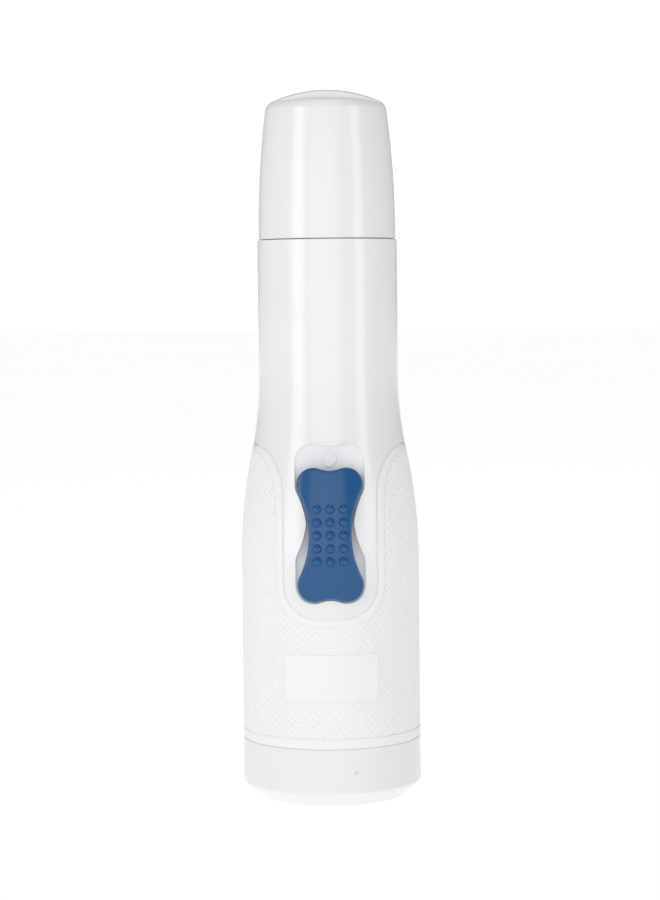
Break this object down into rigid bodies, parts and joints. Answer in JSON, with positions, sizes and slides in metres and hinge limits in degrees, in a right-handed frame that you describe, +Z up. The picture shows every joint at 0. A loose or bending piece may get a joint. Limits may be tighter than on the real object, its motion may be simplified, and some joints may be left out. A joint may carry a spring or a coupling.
{
  "type": "electric pet nail grinder",
  "caption": "Hand-held battery nail grinder: sanding drum under a pull-off guard, thumb slide switch, textured grip and twist-off base cap.",
  "frame": {"origin": "centre of the flat face that the tool stands on", "axes": "+Z up the tool's axis to the guard's crown, -Y out through the thumb switch, +X to the right seen from the switch"},
  "size_m": [0.0482, 0.0502, 0.19],
  "materials": {
    "white_plastic": "glossy injection-moulded white",
    "grip_plastic": "fine diamond texture, satin white",
    "blue_plastic": "satin blue",
    "grey_plastic": "natural grey, unfinished",
    "black_plastic": "dull black",
    "steel": "bright zinc-plated",
    "copper": "bare copper and phosphor bronze",
    "brass": "turned brass",
    "rubber": "soft black rubber",
    "felt": "pressed wool felt",
    "abrasive": "aluminium-oxide grit on cloth",
    "magnet": "dark ferrite",
    "lamination": "stacked steel sheet",
    "cell_jacket": "printed-film jacket, plain",
    "ceramic": "dipped ceramic disc",
    "red_insulation": "PVC",
    "black_insulation": "PVC"
  },
  "bodies": {
    "housing": {"front_shell": "white_plastic", "rear_shell": "white_plastic", "grip_sleeve": "grip_plastic", "housing_screws": "steel", "neck_screws": "steel", "battery_lower": "cell_jacket", "battery_upper": "cell_jacket", "battery_tube": "grey_plastic", "positive_contact": "copper", "battery_strip": "copper", "motor_strip": "copper", "ground_strip": "copper", "motor_can": "steel", "motor_end_bell": "black_plastic", "front_bush": "brass", "rear_bush": "brass", "motor_magnets": "magnet", "motor_brushes": "copper", "motor_terminals": "copper", "suppressor_capacitor": "ceramic", "motor_dampers": "rubber", "nose_collar": "grey_plastic", "shaft_seal": "felt", "red_wire": "red_insulation", "black_wire": "black_insulation"},
    "switch": {"switch_button": "blue_plastic", "slider_plate": "black_plastic", "slider_screw": "steel", "switch_bridge": "copper"},
    "spindle": {"motor_shaft": "steel", "armature_core": "lamination", "armature_windings": "copper", "commutator": "copper", "drum_hub": "black_plastic", "hub_insert": "brass", "sanding_band": "abrasive"},
    "guard": {"guard_cap": "white_plastic"},
    "seal_ring": {"base_seal": "rubber"},
    "base": {"base_cap": "white_plastic", "base_contact": "copper", "negative_spring": "steel"}
  },
  "joints": [
    {"name": "switch_slide", "type": "slide", "parent": "housing", "child": "switch", "axis": [0, 0.0879, 0.9961], "range_m": [0, 0.006]},
    {"name": "drum_spin", "type": "hinge", "parent": "housing", "child": "spindle", "pos_m": [0, 0, 0.14], "axis": [0, 0, 1], "continuous": true},
    {"name": "guard_pull", "type": "slide", "parent": "housing", "child": "guard", "axis": [0, 0, 1], "range_m": [0, 0.045]},
    {"name": "cap_drop", "type": "slide", "parent": "housing", "child": "seal_ring", "axis": [0, 0, -1], "range_m": [0, 0.012]},
    {"name": "cap_twist", "type": "hinge", "parent": "seal_ring", "child": "base", "pos_m": [0, 0, 0.01], "axis": [0, 0, -1], "range_deg": [0, 360]}
  ],
  "couplings": [
    {"joint": "cap_drop", "follows": "cap_twist", "m_per_rad": 0.0019099}
  ]
}
